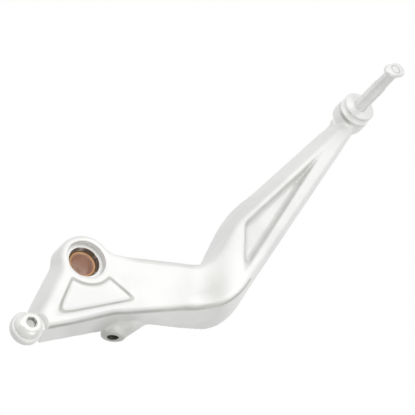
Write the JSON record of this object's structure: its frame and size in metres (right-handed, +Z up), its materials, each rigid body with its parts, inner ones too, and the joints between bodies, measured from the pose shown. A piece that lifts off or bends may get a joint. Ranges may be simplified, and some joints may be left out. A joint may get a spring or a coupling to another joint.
{
  "type": "motorcycle brake lever",
  "caption": "Cast rear-brake foot lever: a bushed pivot boss, an eye with a domed socket screw, a tapped lug and a turned foot peg at the tip of a cranked arm.",
  "frame": {"origin": "on the pivot axis, at the middle of the bush bore", "axes": "+Y inboard along the pivot axis, +X forward towards the foot peg in the plane of the lever, +Z up in the plane of the lever"},
  "size_m": [0.1798, 0.0684, 0.1846],
  "materials": {
    "cast_aluminium": "blasted cast aluminium, satin and nearly white",
    "bush_bronze": "sintered bronze, oiled and brown",
    "zinc_plated_steel": "bright zinc plate",
    "foot_peg_steel": "turned and plated, satin"
  },
  "bodies": {
    "root": {"lever_arm": "cast_aluminium", "pivot_bush": "bush_bronze", "eye_screw": "zinc_plated_steel", "foot_peg": "foot_peg_steel"}
  },
  "joints": []
}
